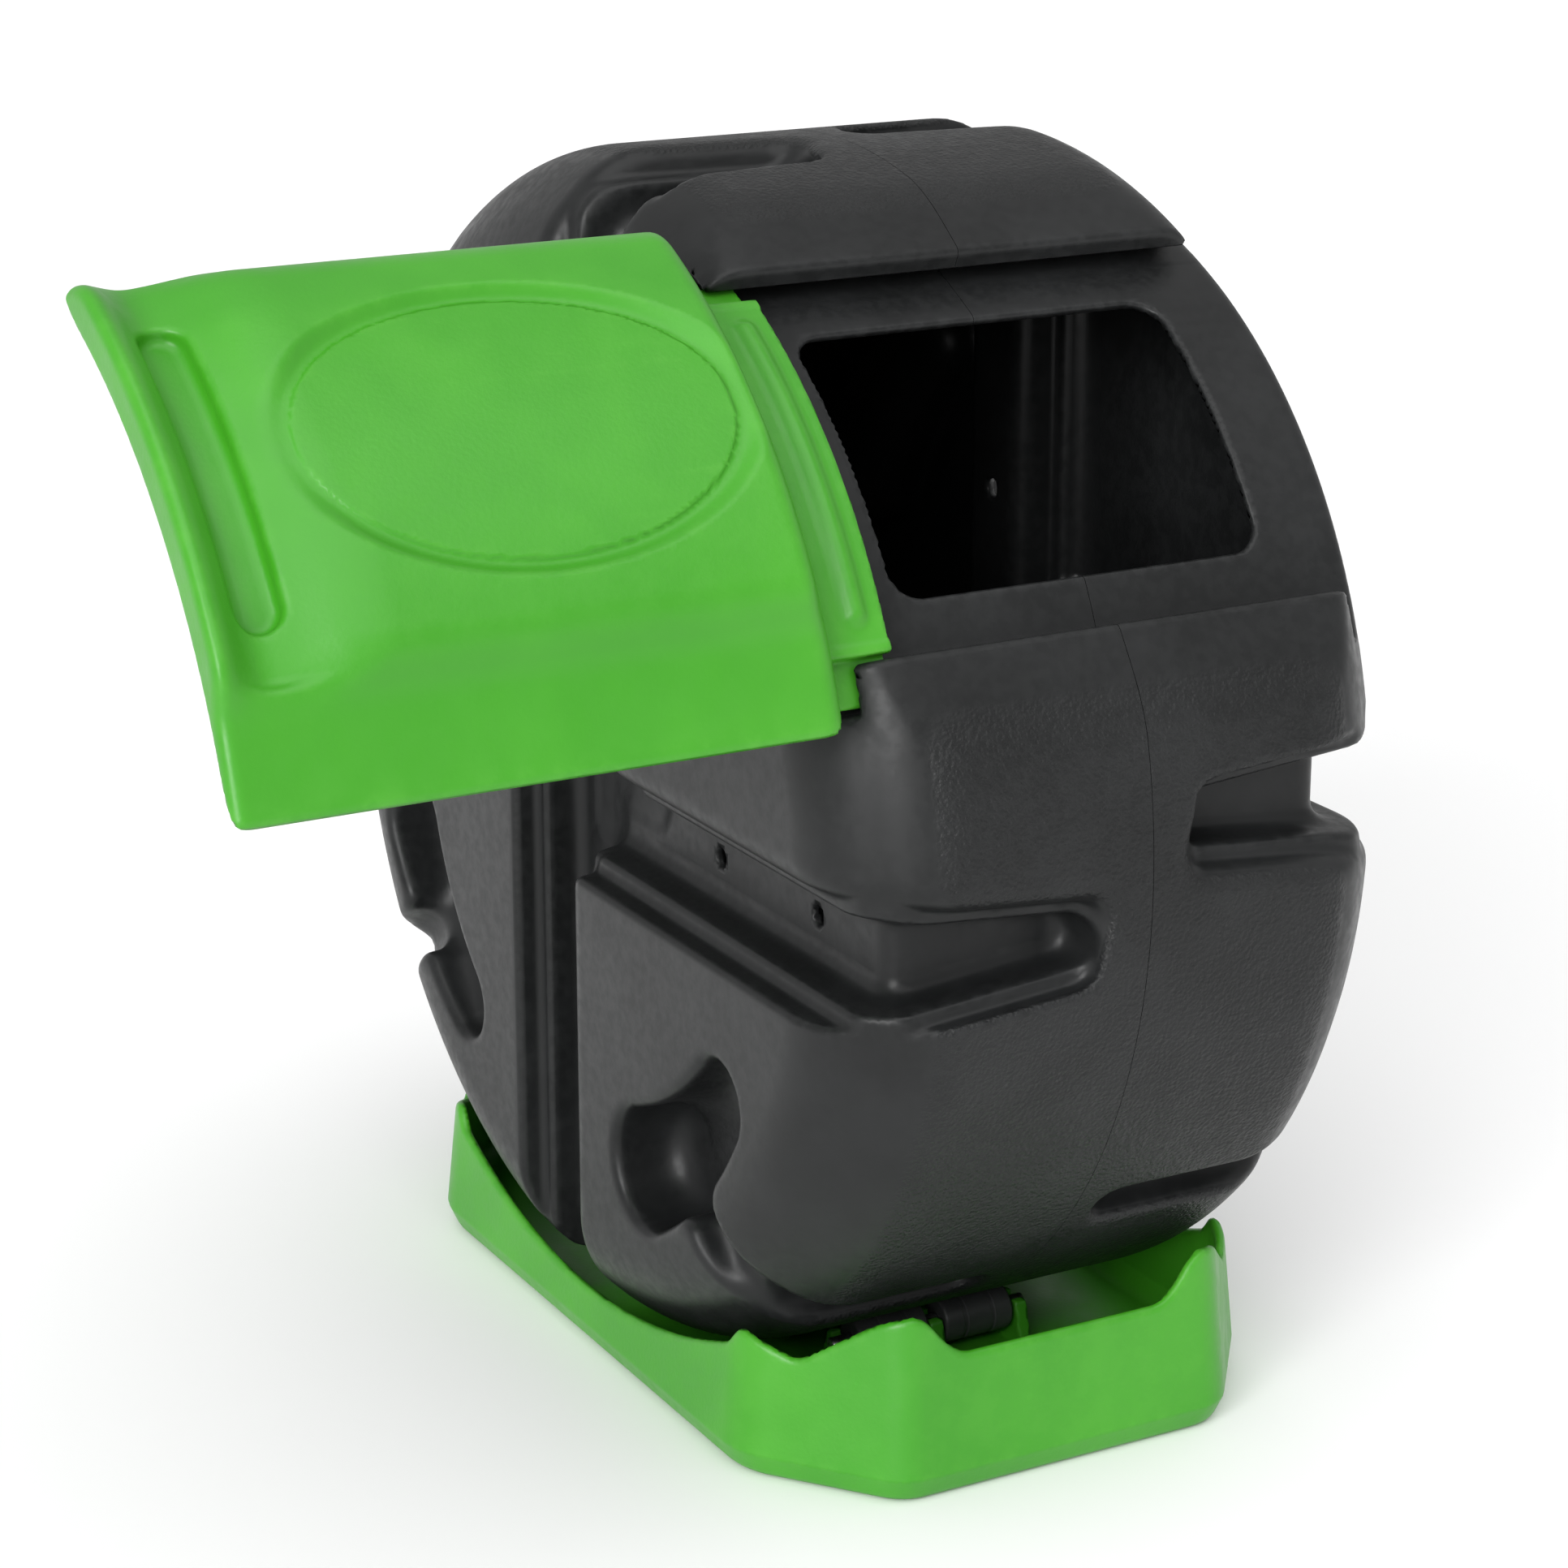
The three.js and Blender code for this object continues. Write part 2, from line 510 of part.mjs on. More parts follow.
// ---------------------------------------------------------------- rollers and axles
function roller(side) {
  const ends = [side * ROLLER_INNER, side * ROLLER_OUTER];
  const low = Math.min(...ends);
  const high = Math.max(...ends);
  const edge = ROLLER_RADIUS - ROLLER_CHAMFER;
  return turned([
    [ROLLER_BORE, low], [edge, low], [ROLLER_RADIUS, low + ROLLER_CHAMFER],
    [ROLLER_RADIUS, high - ROLLER_CHAMFER], [edge, high], [ROLLER_BORE, high], [ROLLER_BORE, low],
  ], 24);
}

function axle() {
  const edge = AXLE_RADIUS - AXLE_CHAMFER;
  const shoulder = AXLE_HALF_LENGTH - AXLE_CHAMFER;
  return turned([
    [0, -AXLE_HALF_LENGTH], [edge, -AXLE_HALF_LENGTH], [AXLE_RADIUS, -shoulder],
    [AXLE_RADIUS, shoulder], [edge, AXLE_HALF_LENGTH], [0, AXLE_HALF_LENGTH],
  ], 16);
}

// ---------------------------------------------------------------- assembly
const group = new THREE.Group();
group.add(named('base_tray', toGeometry(baseTray()), greenPlastic));
for (const [end, where] of [[-1, 'front'], [1, 'rear']]) {
  const place = new THREE.Group();
  place.position.set(0, end * rollerY, rollerZ);
  place.add(named(`axle_${where}`, toGeometry(axle()), steel));
  place.add(named(`roller_${where}_left`, toGeometry(roller(-1)), greyPlastic));
  place.add(named(`roller_${where}_right`, toGeometry(roller(1)), greyPlastic));
  group.add(place);
}
const drum = new THREE.Group();
drum.position.set(0, 0, AXIS_HEIGHT);
drum.add(named('drum_left_half', toGeometry(leftHalf), blackPlastic));
drum.add(named('drum_right_half', toGeometry(rightHalf), blackPlastic));
drum.add(named('sliding_door', toGeometry(slidingDoor()), greenPlastic));
group.add(drum);

export default group;
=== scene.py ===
"""The looks of the rolling compost tumbler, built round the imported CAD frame.

The moulded pieces are written as distance functions in millimetres, meshed on a grid and then
pulled exactly onto the surface, so that every lip, groove and handhold has its moulded radius.
"""
import math

import bmesh
import bpy
import numpy as np
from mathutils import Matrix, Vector


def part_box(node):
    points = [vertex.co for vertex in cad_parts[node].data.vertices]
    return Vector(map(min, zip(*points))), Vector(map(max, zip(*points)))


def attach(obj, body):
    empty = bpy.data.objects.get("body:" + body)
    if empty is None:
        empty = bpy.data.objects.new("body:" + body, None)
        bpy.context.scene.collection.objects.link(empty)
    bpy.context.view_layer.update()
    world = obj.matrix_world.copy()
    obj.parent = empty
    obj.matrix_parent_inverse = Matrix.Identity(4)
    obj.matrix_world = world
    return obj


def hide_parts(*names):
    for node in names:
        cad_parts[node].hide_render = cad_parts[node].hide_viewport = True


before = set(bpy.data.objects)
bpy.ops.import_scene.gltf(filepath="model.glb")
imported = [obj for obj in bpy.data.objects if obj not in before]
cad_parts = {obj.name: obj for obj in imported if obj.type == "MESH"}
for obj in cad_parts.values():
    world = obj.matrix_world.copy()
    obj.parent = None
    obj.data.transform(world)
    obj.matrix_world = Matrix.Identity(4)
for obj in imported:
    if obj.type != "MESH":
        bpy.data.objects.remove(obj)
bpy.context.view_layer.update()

MM = 0.001
AXIS_HEIGHT = 316.0              # drum axis above the floor, in mm like every length below

# ---------------------------------------------------------------- drum
RADIUS = 300.0
HALF_WIDTH = 152.0
SHOULDER_RADIUS = 261.0          # where the bevel meets the end face
WALL = 5.0
SEAM_GAP = 0.15
ARM_SHIFT = 24.0                 # sideways shift of each groove
ARM_WIDE, ARM_NARROW = 31.0, 23.5
ARM_DRAFT = 0.085                # a tread groove narrows towards the seam
ARM_STEP, ARM_DEPTH = 14.0, 35.0
ARM_STOP = 24.0
VENT_RADIUS = 5.0
VENT_PLACES = (105.0, 200.0)     # distances from the axis
VENT_FROM = 80.0                 # the vents are cut through the end walls only, beyond this
HOLD_ANGLES = (135.0, 225.0, 315.0)
HOLD_RADIUS = 205.0
HOLD_FROM, HOLD_TO = -8.0, 20.0  # degrees from each handhold's angle
HOLD_THIN, HOLD_THICK = 21.0, 31.0
HOLD_SHALLOW, HOLD_DEEP = 24.0, 40.0
SCOOP_ANGLE = 7.0
SCOOP_HALF = 13.0
SCOOP_DEPTH = 21.0
SCOOP_STOP = 16.0
DOOR_ANGLE = 46.0                # middle of the door opening, from straight up towards -Y
LIP_ANGLE, TRACK_ANGLE, LUG_ANGLE = 20.5, 25.0, 28.0
LIP_TOP, LIP_UNDER, FRAME_RADIUS = 290.0, 279.0, 271.0
MOUTH_ANGLE, MOUTH_HALF, MOUTH_CORNER = 15.0, 98.0, 15.0
MOUTH_FROM = 200.0               # the opening is cut from this radius outwards
QUARTERS = (0.0, 90.0, 180.0, 270.0)
WIDE_TURN = 60.0                 # angles are not followed further than this from a cut's middle

# ---------------------------------------------------------------- door
DOOR_SAG = 1.2                   # degrees by which the door rests low in its tracks
DOOR_LEFT, DOOR_RIGHT, HOOD_RIGHT = -431.0, -114.0, -152.0
DOOR_OUTER = 316.0
DOOR_SKIN = 6.0
HOOD_ANGLE, WEB_ANGLE, TONGUE_ANGLE = 25.5, 18.7, 23.2
PANEL_MIDDLE, PANEL_ANGLE = -4.0, 18.1   # the panel sits nearer to the upper edge
BAND_RADIUS, BAND_ANGLE = 305.0, 16.6    # foot of the step between the panel and the lower band
HOOD_EDGE_RADIUS = 302.0
OVAL_CENTRE, OVAL_LENGTH, OVAL_WIDTH = -269.0, 102.0, 67.0
OVAL_DEPTH, OVAL_BORDER = 5.0, (1.0, 12.0)      # the hollow's depth, and where its border rolls in
PLATE_RISE, PLATE_EDGE = 1.2, (-2.0, -0.4)      # the plate in the hollow stands a little higher
VALLEY_LEFT, VALLEY_RIGHT, VALLEY_FLOOR = -412.0, -395.0, 301.0
VALLEY_RISE, VALLEY_LEFT_RUN, VALLEY_RIGHT_RUN = 15.0, 12.0, 27.0
SLOT_MIDDLE, SLOT_HALF_WIDTH, SLOT_HALF_LENGTH, SLOT_DEPTH = -403.0, 10.5, 76.0, 5.0
HOOD_BOTTOM, END_WALL_BOTTOM = 274.0, 294.0
END_LEAN = (0.90, 0.43)          # direction in which the hood's right end faces: along x, and outwards
SIDE_WALL, END_WALL = 4.0, 5.0
LUG_CLEARANCE = 2.9              # between the hood's underside and the flats beside the opening
FLANGE_RADIUS, FLANGE_HALF = 283.0, 2.2
BEAD_PLACE, BEAD_RADIUS, BEAD_HALF_LENGTH, BEAD_SIZE = -128.0, 284.0, 74.0, 4.5
WEB_TOP, WEB_HALF = 286.0, 2.4
TONGUE_RADIUS, TONGUE_HALF = 275.5, 2.0
KEEPER_INSET = 12.0              # the webs and tongues start this far inside the left end

# ---------------------------------------------------------------- base
BASE_HALF_WIDTH, BASE_HALF_LENGTH = 146.0, 241.0
BASE_CORNER_X, BASE_CORNER_Y = 91.0, 171.0
BASE_WALL, BASE_FLOOR, BASE_TOP = 5.0, 5.0, 96.0
BASE_FOOT = 14.0                 # height at which the wall is widest
FOOT_INSET, TOP_INSET = 6.0, 8.0
SLANT_X, SLANT_Y = 70.0, 55.0    # direction in which a slanted corner wall faces
SLANT_LENGTH = math.hypot(SLANT_X, SLANT_Y)
POST_TOP = 94.5
SIDE_LOW, SIDE_RADIUS = 33.0, 400.0    # lowest height of a side wall, and the radius of its curve
NOTCH_LOW, NOTCH_PLACE = 65.0, 28.0    # lowest height of a slanted wall, and where along it
GAP_FLOOR, GAP_HALF = 72.0, 60.0       # the gap in an end wall
SADDLE_Y, SADDLE_Z = 106.85, 22.44     # the axles' middle lines
SADDLE_HALF_FOOT, SADDLE_LEAN, SADDLE_RISE, SADDLE_SLOT = 16.0, 0.27, 5.0, 4.4
SADDLE_INNER, SADDLE_OUTER, SADDLE_OUTER_HALF = 4.0, 50.5, 3.5


# ---------------------------------------------------------------- distance functions
def smin(a, b, k):
    """Union of two shapes; k is the width in mm over which they blend."""
    h = np.maximum(k - np.abs(a - b), 0.0) / k
    return np.minimum(a, b) - h * h * k * 0.25


def smax(a, b, k):
    """Intersection, blended in the same way."""
    return -smin(-a, -b, k)


def step_between(a, b, v):
    t = np.clip((v - a) / (b - a), 0.0, 1.0)
    return t * t * (3.0 - 2.0 * t)


def turned_by(degrees, y, z):
    """Coordinates across and along a direction that is turned from straight up towards -Y."""
    c, s = math.cos(math.radians(degrees)), math.sin(math.radians(degrees))
    return y * c + z * s, z * c - y * s


def arm_cut(side, angle, ax, y, z):
    """A groove down the end face and over the tread, with a ledge on one flank."""
    across, along = turned_by(angle, y, z)
    across = across - side * ARM_SHIFT
    flank = side * across        # the two halves are each other turned about the vertical
    skin = smin(HALF_WIDTH - ax, RADIUS - along, 14.0)
    half = ARM_WIDE - ARM_DRAFT * (HALF_WIDTH - ax)
    wide = smax(np.abs(across) - half, skin - ARM_STEP, 5.0)
    narrow_half = half - (ARM_WIDE - ARM_NARROW)
    deep = smax(np.abs(across) - narrow_half, skin - ARM_DEPTH, 10.0)
    cut = smin(wide, deep, 4.0)
    cut = smax(cut, -ARM_WIDE - along, 8.0)
    cut = smax(cut, ARM_STOP - ax, 14.0)
    return cut, flank


def hold_cut(side, angle, ax, y, z):
    """A handhold in the end face, with a finger channel over the shoulder onto the tread."""
    phi = np.degrees(np.arctan2(-y, z))
    turn = -side * ((phi - angle + 180.0) % 360.0 - 180.0)
    r = np.hypot(y, z)
    near = np.clip(turn, HOLD_FROM, HOLD_TO)
    off = np.radians(turn - near)
    share = (near - HOLD_FROM) / (HOLD_TO - HOLD_FROM)
    away = np.sqrt(r * r + HOLD_RADIUS ** 2 - 2 * r * HOLD_RADIUS * np.cos(off))
    width = HOLD_THIN + (HOLD_THICK - HOLD_THIN) * share
    depth = HOLD_SHALLOW + (HOLD_DEEP - HOLD_SHALLOW) * share
    inward = HALF_WIDTH - ax
    pocket = smax(away - width, inward - depth, 22.0)
    across = r * np.sin(np.radians(np.clip(turn - SCOOP_ANGLE, -WIDE_TURN, WIDE_TURN)))
    outside = smax(HOLD_RADIUS - r, np.abs(turn) - WIDE_TURN, 1.0)
    skin = smin(inward, RADIUS - r, 18.0)
    scoop = smax(np.abs(across) - SCOOP_HALF, skin - SCOOP_DEPTH, 14.0)
    scoop = smax(scoop, outside, 4.0)
    scoop = smax(scoop, SCOOP_STOP - ax, 16.0)
    return smin(pocket, scoop, 12.0)


def facet(y, z):
    """The flat on each side of the door opening."""
    across, along = turned_by(DOOR_ANGLE, y, z)
    return plane_through(at_angle(LIP_TOP, LIP_ANGLE), at_angle(RADIUS, LUG_ANGLE), np.abs(across), along)


def door_turn(y, z):
    phi = np.degrees(np.arctan2(-y, z))
    return np.abs((phi - DOOR_ANGLE + 180.0) % 360.0 - 180.0)


def drum_outside(side, ax, y, z):
    r = np.hypot(y, z)
    body = smax(ax - HALF_WIDTH, r - RADIUS, 4.0)
    body = smax(body, ((ax - HALF_WIDTH) + (r - SHOULDER_RADIUS)) * math.sqrt(0.5), 16.0)
    body = smax(body, facet(y, z), 6.0)
    for angle in QUARTERS:
        cut, flank = arm_cut(side, angle, ax, y, z)
        edge = 4.0 + 10.0 * step_between(-12.0, 12.0, -flank)
        body = smax(body, -cut, edge)
    for angle in HOLD_ANGLES:
        body = smax(body, -hold_cut(side, angle, ax, y, z), 7.0)
    turn = door_turn(y, z)
    lip = r * np.sin(np.radians(np.minimum(turn - LIP_ANGLE, WIDE_TURN)))
    track = r * np.sin(np.radians(np.minimum(turn - TRACK_ANGLE, WIDE_TURN)))
    above = smax(FRAME_RADIUS - r, lip, 3.0)
    under = smax(smax(FRAME_RADIUS - r, r - LIP_UNDER, 2.0), track, 3.0)
    return smax(body, -smin(above, under, 1.0), 3.5)


def vents(side, ax, y, z):
    found = None
    for angle in QUARTERS:
        across, along = turned_by(angle, y, z)
        across = across - side * ARM_SHIFT
        for place in VENT_PLACES:
            hole = np.hypot(across, along - place) - VENT_RADIUS
            found = hole if found is None else np.minimum(found, hole)
    return smax(found, VENT_FROM - ax, 1.0)


def drum_half(side):
    def field(ax, y, z):
        outside = drum_outside(side, ax, y, z)
        shell = smax(outside, -(outside + WALL), 2.0)
        r = np.hypot(y, z)
        turn = door_turn(y, z)
        a = ax - (MOUTH_HALF - MOUTH_CORNER)
        b = FRAME_RADIUS * np.radians(turn - MOUTH_ANGLE) + MOUTH_CORNER
        mouth = np.hypot(np.maximum(a, 0), np.maximum(b, 0)) + np.minimum(np.maximum(a, b), 0)
        mouth = smax(mouth - MOUTH_CORNER, MOUTH_FROM - r, 1.0)
        shell = smax(shell, -mouth, 2.5)
        return smax(shell, -vents(side, ax, y, z), 1.2)
    return field


def plane_through(a, b, p, q):
    """Signed distance from the line through two points, positive on its left going from a to b."""
    length = math.hypot(b[0] - a[0], b[1] - a[1])
    return ((p - a[0]) * (a[1] - b[1]) + (q - a[1]) * (b[0] - a[0])) / length


def at_angle(radius, degrees):
    return radius * math.sin(math.radians(degrees)), radius * math.cos(math.radians(degrees))


def door_top(x, t, h, r):
    """The outer skin: a cylinder with a sunk oval plate, bands along both sides and a cross valley."""
    down = np.degrees(np.arctan2(-t, h))
    off_middle = r * np.radians(down - PANEL_MIDDLE)
    oval = np.hypot((x - OVAL_CENTRE) / OVAL_LENGTH, off_middle / OVAL_WIDTH) - 1.0
    oval = oval * (OVAL_LENGTH + OVAL_WIDTH) / 2
    sink = OVAL_DEPTH * (1.0 - step_between(*OVAL_BORDER, oval))
    sink = sink - PLATE_RISE * (1.0 - step_between(*PLATE_EDGE, oval))
    hood_edge = at_angle(HOOD_EDGE_RADIUS, HOOD_ANGLE)
    crest = at_angle(DOOR_OUTER, PANEL_ANGLE - PANEL_MIDDLE)
    outer = smax(r - DOOR_OUTER + sink, plane_through(crest, hood_edge, t, h), 6.0)
    crest = at_angle(DOOR_OUTER, PANEL_ANGLE + PANEL_MIDDLE)
    below_band = at_angle(BAND_RADIUS - 2.0, BAND_ANGLE)
    outer = smax(outer, plane_through(crest, below_band, -t, h), 8.0)
    band = plane_through(at_angle(BAND_RADIUS, BAND_ANGLE), hood_edge, -t, h)
    left = plane_through((VALLEY_LEFT - VALLEY_LEFT_RUN, VALLEY_FLOOR + VALLEY_RISE),
                         (VALLEY_LEFT, VALLEY_FLOOR), x, r)
    right = plane_through((VALLEY_RIGHT, VALLEY_FLOOR),
                          (VALLEY_RIGHT + VALLEY_RIGHT_RUN, VALLEY_FLOOR + VALLEY_RISE), x, r)
    valley = smin(smin(left, right, 6.0), r - VALLEY_FLOOR, 10.0)
    band = smax(band, r * np.radians(BAND_ANGLE - 1.5 - down), 4.0)
    outer = smin(smax(outer, valley, 9.0), band, 6.0)
    reach = np.maximum(np.abs(off_middle) - SLOT_HALF_LENGTH + SLOT_HALF_WIDTH, 0.0)
    slot = smax(np.hypot(x - SLOT_MIDDLE, reach) - SLOT_HALF_WIDTH, VALLEY_FLOOR - SLOT_DEPTH - r, 6.0)
    return smax(outer, -slot, 3.5)


def door_field(x, t, h):
    """x along the drum, t across the door and h outwards at its middle."""
    r = np.hypot(t, h)
    turn = np.degrees(np.arctan2(np.abs(t), h))
    outer = door_top(x, t, h, r)
    right_end = (x - HOOD_RIGHT) * END_LEAN[0] + (r - RADIUS) * END_LEAN[1]
    ends = smax(DOOR_LEFT - x, right_end, 6.0)
    side = r * np.radians(turn - HOOD_ANGLE)
    hood = smax(smax(outer, ends, 7.0), side, 6.0)
    inside_web = r * np.radians(turn - WEB_ANGLE)
    cavity = smax(smax(outer + DOOR_SKIN, inside_web + SIDE_WALL, 4.0),
                  smax(DOOR_LEFT + END_WALL - x, right_end + END_WALL, 4.0), 4.0)
    hood = smax(hood, -cavity, 2.0)
    over_lug = plane_through(at_angle(LIP_TOP, LIP_ANGLE), at_angle(RADIUS, LUG_ANGLE), np.abs(t), h)
    hood = smax(hood, smin(LUG_CLEARANCE - over_lug, inside_web, 1.0), 2.0)
    inner = step_between(4.0, 20.0, x - DOOR_LEFT)
    bottom = END_WALL_BOTTOM + (HOOD_BOTTOM - END_WALL_BOTTOM) * inner
    hood = smax(hood, bottom - r, 3.0)
    flange = smax(smax(np.abs(r - FLANGE_RADIUS) - FLANGE_HALF, inside_web, 2.0),
                  smax(HOOD_RIGHT - SIDE_WALL - x, x - DOOR_RIGHT, 3.0), 2.0)
    bead_off = np.hypot(x - BEAD_PLACE, np.maximum(np.abs(t) - BEAD_HALF_LENGTH, 0.0))
    flange = smin(flange, np.hypot(bead_off, r - BEAD_RADIUS) - BEAD_SIZE, 4.0)
    web = smax(np.abs(inside_web + 2.5) - WEB_HALF, smax(HOOD_BOTTOM - r, r - WEB_TOP, 2.0), 2.0)
    tongue = smax(np.abs(r - TONGUE_RADIUS) - TONGUE_HALF, r * np.radians(turn - TONGUE_ANGLE), 2.0)
    tongue = smax(tongue, -inside_web - SIDE_WALL, 1.0)
    keeper_ends = smax(DOOR_LEFT + KEEPER_INSET - x, x - DOOR_RIGHT, 3.0)
    keeper = smax(smin(web, tongue, 2.0), keeper_ends, 2.0)
    return smin(smin(hood, flange, 2.5), keeper, 2.0)


def saddles(ax, ay, z):
    """Plates with open slots that hold the axles."""
    off = np.abs(ay - SADDLE_Y)
    low = BASE_FLOOR - 2.0
    plate = smax(off - SADDLE_HALF_FOOT + (z - BASE_FLOOR) * SADDLE_LEAN, z - SADDLE_Z - SADDLE_RISE, 2.0)
    plate = smax(plate, low - z, 1.0)
    slot = smin(np.hypot(ay - SADDLE_Y, z - SADDLE_Z) - SADDLE_SLOT,
                smax(off - SADDLE_SLOT, SADDLE_Z - z, 0.5), 0.5)
    plate = smax(plate, -slot, 1.0)
    return smax(plate, smin(ax - SADDLE_INNER, np.abs(ax - SADDLE_OUTER) - SADDLE_OUTER_HALF, 0.5), 1.0)


def base_rim(ax, ay):
    """Height of the base's rim, from the side wall round the slanted wall to the end wall."""
    from_side = BASE_HALF_WIDTH - TOP_INSET - ax
    from_corner = ay - BASE_CORNER_Y + 3.0
    along = (from_side * SLANT_Y + from_corner * SLANT_X) / SLANT_LENGTH
    reach = np.minimum(ay, SIDE_RADIUS / 2)
    side = SIDE_LOW + SIDE_RADIUS - np.sqrt(SIDE_RADIUS ** 2 - reach ** 2)
    notch = smax(73.5 - 0.32 * along, NOTCH_LOW + 0.63 * (along - NOTCH_PLACE), 5.0)
    slant = smin(notch, POST_TOP, 8.0)
    end = smin(smax(GAP_FLOOR, GAP_FLOOR + 1.3 * (ax - GAP_HALF), 12.0), POST_TOP, 8.0)
    share = step_between(-14.0, 0.0, along)
    return np.where(along > 84.0, end, side * (1.0 - share) + slant * share)


def base_field(x, y, z):
    ax, ay = np.abs(x), np.abs(y)
    foot = -FOOT_INSET * (1.0 - np.clip(z / BASE_FOOT, 0.0, 1.0))
    grow = foot - TOP_INSET * np.clip((z - BASE_FOOT) / (BASE_TOP - BASE_FOOT), 0.0, 1.2)
    nx, ny = SLANT_X / SLANT_LENGTH, SLANT_Y / SLANT_LENGTH
    plan = smax(ax - BASE_HALF_WIDTH, ay - BASE_HALF_LENGTH, 3.0)
    plan = smax(plan, nx * ax + ny * ay - (nx * BASE_CORNER_X + ny * BASE_HALF_LENGTH), 9.0)
    plan = plan - grow
    outside = smax(plan, -z, 5.0)
    inside = smax(plan + BASE_WALL, BASE_FLOOR - z, 8.0)
    tray = smax(outside, -inside, 2.0)
    tray = smax(tray, (z - base_rim(ax, ay)) * 0.86, 3.5)
    return smin(tray, saddles(ax, ay, z), 3.0)


# ---------------------------------------------------------------- meshing
CORNERS = [(i, j, k) for i in (0, 1) for j in (0, 1) for k in (0, 1)]
EDGES = [(a, b) for a in range(8) for b in range(a + 1, 8)
         if sum(abs(p - q) for p, q in zip(CORNERS[a], CORNERS[b])) == 1]


def gradient(field, p, e=0.25):
    g = np.empty_like(p)
    for axis in range(3):
        up, down = p.copy(), p.copy()
        up[:, axis] += e
        down[:, axis] -= e
        g[:, axis] = field(*up.T) - field(*down.T)
    return g / (2 * e)


def onto_surface(field, p, rounds, reach):
    for _ in range(rounds):
        g = gradient(field, p)
        size = np.maximum((g * g).sum(1), 0.05)
        move = np.clip(field(*p.T) / size, -reach, reach)
        p = p - g * move[:, None]
    return p


def surface_net(field, low, high, step):
    """One vertex for each grid cell that the surface passes through, and one quad for each grid edge."""
    count = [int(math.ceil((b - a) / step)) + 1 for a, b in zip(low, high)]
    line = [np.float64(a) + step * np.arange(n) for a, n in zip(low, count)]
    x, y, z = np.meshgrid(*line, indexing="ij", sparse=True)
    f = np.broadcast_to(field(x, y, z), count).astype(np.float32)
    within = f < 0
    total = np.zeros([n - 1 for n in count], np.int8)
    for i, j, k in CORNERS:
        total += within[i:count[0] - 1 + i, j:count[1] - 1 + j, k:count[2] - 1 + k]
    cells = np.stack(np.nonzero((total > 0) & (total < 8)), 1)
    number = np.full(total.shape, -1, np.int32)
    number[tuple(cells.T)] = np.arange(len(cells))
    value = [f[cells[:, 0] + i, cells[:, 1] + j, cells[:, 2] + k] for i, j, k in CORNERS]
    place, crossings = np.zeros((len(cells), 3)), np.zeros(len(cells))
    for a, b in EDGES:
        hit = (value[a] < 0) != (value[b] < 0)
        t = np.where(hit, value[a] / np.where(hit, value[a] - value[b], 1.0), 0.0)
        start, run = np.array(CORNERS[a]), np.array(CORNERS[b]) - np.array(CORNERS[a])
        place += hit[:, None] * (start + t[:, None] * run)
        crossings += hit
    points = np.array(low) + (cells + place / crossings[:, None]) * step
    quads = []
    for axis in range(3):
        one, two = (axis + 1) % 3, (axis + 2) % 3
        lower = [slice(None)] * 3
        upper = [slice(None)] * 3
        lower[axis], upper[axis] = slice(0, -1), slice(1, None)
        for other in (one, two):
            lower[other] = upper[other] = slice(1, -1)
        before, after = within[tuple(lower)], within[tuple(upper)]
        at = np.stack(np.nonzero(before != after), 1)
        outward = before[tuple(at.T)]
        at[:, one] += 1
        at[:, two] += 1
        ring = []
        for d1, d2 in ((-1, -1), (0, -1), (0, 0), (-1, 0)):
            cell = at.copy()
            cell[:, one] += d1
            cell[:, two] += d2
            ring.append(number[tuple(cell.T)])
        ring = np.stack(ring, 1)
        quads.append(np.where(outward[:, None], ring, ring[:, ::-1]))
    return points, np.concatenate(quads)


def mesh_from(name, points, faces):
    mesh = bpy.data.meshes.new(name)
    mesh.vertices.add(len(points))
    mesh.vertices.foreach_set("co", np.asarray(points, np.float32).ravel())
    mesh.loops.add(faces.size)
    mesh.loops.foreach_set("vertex_index", faces.astype(np.int32).ravel())
    mesh.polygons.add(len(faces))
    mesh.polygons.foreach_set("loop_start", np.arange(0, faces.size, faces.shape[1], dtype=np.int32))
    mesh.update(calc_edges=True)
    mesh.validate()
    return mesh


CAP_SLACK = 0.6      # how far a cap's triangle may stand outside the material, in mm


def cut_off(mesh, field, place):
    """Cut a mesh off flat at x = place and close it there, but only where the field has material."""
    work = bmesh.new()
    work.from_mesh(mesh)
    made = bmesh.ops.bisect_plane(work, geom=work.verts[:] + work.edges[:] + work.faces[:],
                                  plane_co=(place, 0, 0), plane_no=(1, 0, 0), clear_inner=True)
    rim = [part for part in made["geom_cut"] if isinstance(part, bmesh.types.BMEdge)]
    fill = bmesh.ops.triangle_fill(work, edges=rim, normal=(-1, 0, 0))
    caps = [part for part in fill["geom"] if isinstance(part, bmesh.types.BMFace)]
    corners = np.array([[corner.co[:] for corner in cap.verts] for cap in caps])
    edge_middles = (corners + np.roll(corners, 1, axis=1)) / 2
    tests = np.concatenate([corners.mean(1, keepdims=True), edge_middles], axis=1)
    outside = field(*tests.reshape(-1, 3).T).reshape(len(caps), -1).max(1)
    stray = [cap for cap, far in zip(caps, outside) if far > CAP_SLACK]
    bmesh.ops.delete(work, geom=stray, context="FACES")
    work.to_mesh(mesh)
    work.free()


